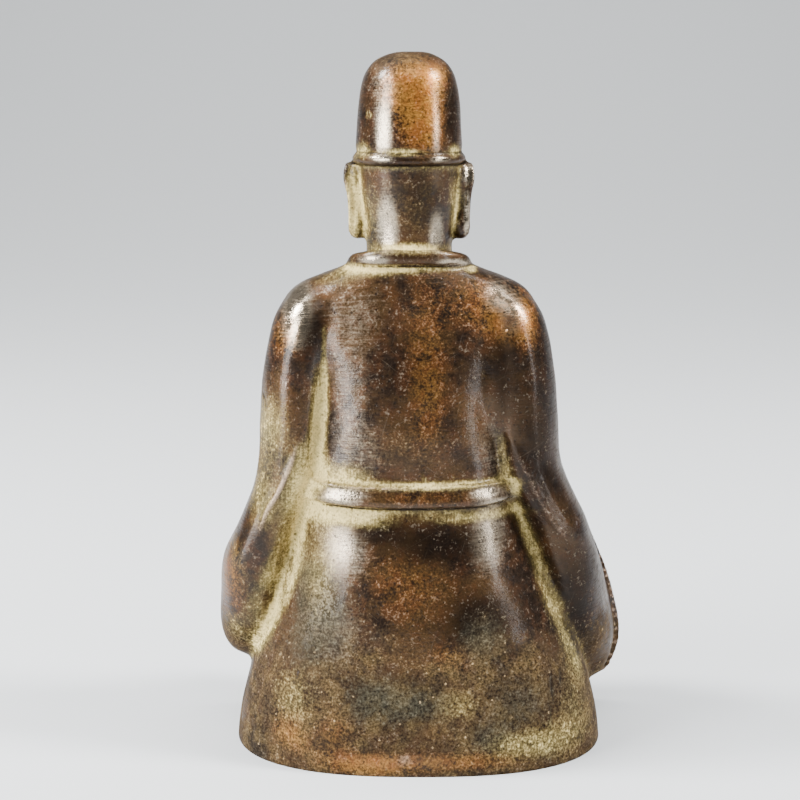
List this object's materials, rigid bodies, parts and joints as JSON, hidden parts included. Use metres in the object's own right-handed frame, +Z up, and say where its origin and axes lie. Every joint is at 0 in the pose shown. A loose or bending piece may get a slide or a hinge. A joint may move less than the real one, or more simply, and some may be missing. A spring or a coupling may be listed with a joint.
{
  "type": "seated deity statue",
  "caption": "Small cast figure of a seated robed deity with a tall rounded cap, belt and hanging sleeves, one hand on a knee and one holding a jar; stands on its flat underside.",
  "frame": {"origin": "middle of the flat underside", "axes": "+Z up through the cap, -Y the way the figure faces, +X the figure's left"},
  "size_m": [0.0789, 0.0522, 0.13],
  "materials": {
    "patinated_bronze": "dark brown patina, rubbed to copper on high places, with tan dust in the hollows"
  },
  "bodies": {
    "root": {"medicine_buddha_statue": "patinated_bronze"}
  },
  "joints": []
}
